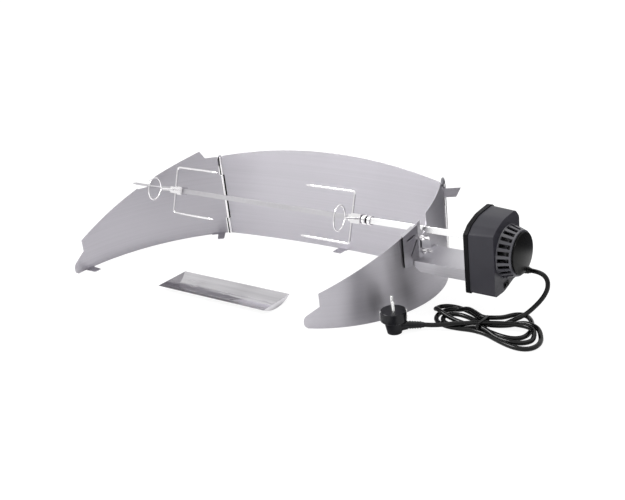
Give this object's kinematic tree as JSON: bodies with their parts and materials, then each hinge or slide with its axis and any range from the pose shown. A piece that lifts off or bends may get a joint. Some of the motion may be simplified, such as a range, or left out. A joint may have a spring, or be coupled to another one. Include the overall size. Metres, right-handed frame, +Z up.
{
  "type": "rotisserie spit roaster",
  "caption": "Hinged stainless steel rotisserie collar for a kettle grill, with a motor-driven spit, meat forks, drip tray and mains cord with a round plug.",
  "frame": {"origin": "on the floor, midway between the two hinge axes and straight below the spit axis", "axes": "+X along the spit to the motor, +Y to the rear panel, +Z up"},
  "size_m": [0.8943, 0.3053, 0.1825],
  "materials": {
    "stainless_sheet": "satin",
    "bright_steel": "polished",
    "spit_steel": "bright",
    "tray_steel": "bright",
    "bracket_steel": "satin",
    "motor_plastic": "satin",
    "cap_plastic": "satin",
    "gear_brass": "machined",
    "inner_steel": "plain",
    "cord_rubber": "satin",
    "plug_plastic": "satin",
    "pin_metal": "polished"
  },
  "bodies": {
    "rear_panel_body": {"rear_panel": "stainless_sheet"},
    "left_wing_body": {"left_wing": "stainless_sheet"},
    "right_wing_body": {"right_wing": "stainless_sheet", "bracket_bolts": "bright_steel"},
    "left_pin_body": {"left_hinge_pin": "bright_steel"},
    "right_pin_body": {"right_hinge_pin": "bright_steel"},
    "bracket_body": {"motor_bracket": "bracket_steel"},
    "upper_nut_body": {"upper_wing_nut": "bright_steel"},
    "lower_nut_body": {"lower_wing_nut": "bright_steel"},
    "motor_body": {"motor_rear_cover": "motor_plastic", "motor_housing": "motor_plastic", "vent_drum": "motor_plastic", "drum_cap": "cap_plastic", "cover_screws": "inner_steel", "motor_hanger": "bracket_steel", "socket_bush": "gear_brass", "gear_plate": "inner_steel", "geared_motor": "inner_steel", "rocker_frame": "motor_plastic", "cable_gland": "cord_rubber", "supply_cord": "cord_rubber", "cord_hank": "cord_rubber", "cable_tie": "cord_rubber", "plug_lead": "cord_rubber", "plug_body": "plug_plastic", "plug_pins": "pin_metal", "plug_earth_clips": "pin_metal", "plug_strain_relief": "cord_rubber"},
    "socket_body": {"drive_socket": "inner_steel"},
    "pinion_body": {"motor_pinion": "gear_brass"},
    "rocker_body": {"rocker_switch": "motor_plastic"},
    "spit_body": {"spit_main_bar": "spit_steel", "spit_collar": "bright_steel", "spit_drive_bar": "spit_steel"},
    "left_fork_body": {"left_fork": "bright_steel", "left_fork_hub": "bright_steel"},
    "right_fork_body": {"right_fork": "bright_steel", "right_fork_hub": "bright_steel"},
    "left_screw_body": {"left_thumb_screw": "bright_steel"},
    "right_screw_body": {"right_thumb_screw": "bright_steel"},
    "tray_body": {"drip_tray": "tray_steel"}
  },
  "joints": [
    {"name": "left_wing_hinge", "type": "hinge", "parent": "rear_panel_body", "child": "left_wing_body", "pos_m": [-0.25, 0.11, 0.0785], "axis": [0, 0, -1], "range_deg": [0, 60]},
    {"name": "right_wing_hinge", "type": "hinge", "parent": "rear_panel_body", "child": "right_wing_body", "pos_m": [0.25, 0.11, 0.0785], "axis": [0, 0, 1], "range_deg": [0, 60]},
    {"name": "left_pin_lift", "type": "slide", "parent": "rear_panel_body", "child": "left_pin_body", "axis": [0, 0, 1], "range_m": [0, 0.17]},
    {"name": "right_pin_lift", "type": "slide", "parent": "rear_panel_body", "child": "right_pin_body", "axis": [0, 0, 1], "range_m": [0, 0.17]},
    {"name": "bracket_height", "type": "slide", "parent": "right_wing_body", "child": "bracket_body", "axis": [0, 0, 1], "range_m": [0, 0.003]},
    {"name": "upper_nut_turn", "type": "hinge", "parent": "right_wing_body", "child": "upper_nut_body", "pos_m": [0.285, -0.0135, 0.114], "axis": [1, 0, 0], "continuous": true},
    {"name": "lower_nut_turn", "type": "hinge", "parent": "right_wing_body", "child": "lower_nut_body", "pos_m": [0.285, -0.008, 0.091], "axis": [1, 0, 0], "continuous": true},
    {"name": "motor_lift", "type": "slide", "parent": "bracket_body", "child": "motor_body", "axis": [0, 0, 1], "range_m": [0, 0.03]},
    {"name": "pinion_spin", "type": "hinge", "parent": "motor_body", "child": "pinion_body", "pos_m": [0.387, 0.00501, 0.10636], "axis": [1, 0, 0], "continuous": true},
    {"name": "socket_spin", "type": "hinge", "parent": "motor_body", "child": "socket_body", "pos_m": [0.387, 0, 0.1226], "axis": [1, 0, 0], "continuous": true},
    {"name": "rocker_tilt", "type": "hinge", "parent": "motor_body", "child": "rocker_body", "pos_m": [0.4182, -0.006, 0.0585], "axis": [0, 0, 1], "range_deg": [-9, 9]},
    {"name": "spit_withdraw", "type": "slide", "parent": "socket_body", "child": "spit_body", "axis": [-1, 0, 0], "range_m": [0, 0.012]},
    {"name": "left_fork_slide", "type": "slide", "parent": "spit_body", "child": "left_fork_body", "axis": [1, 0, 0], "range_m": [0, 0.09]},
    {"name": "right_fork_slide", "type": "slide", "parent": "spit_body", "child": "right_fork_body", "axis": [-1, 0, 0], "range_m": [0, 0.09]},
    {"name": "left_screw_turn", "type": "hinge", "parent": "left_fork_body", "child": "left_screw_body", "pos_m": [-0.2715, -0.0094, 0.12602], "axis": [0, -0.9397, 0.342], "continuous": true},
    {"name": "right_screw_turn", "type": "hinge", "parent": "right_fork_body", "child": "right_screw_body", "pos_m": [0.1538, -0.0094, 0.12602], "axis": [0, -0.9397, 0.342], "continuous": true},
    {"name": "tray_lift", "type": "slide", "parent": "rear_panel_body", "child": "tray_body", "axis": [0, 0, 1], "range_m": [0, 0.05]}
  ],
  "couplings": [
    {"joint": "pinion_spin", "follows": "socket_spin", "ratio": -2.4}
  ]
}
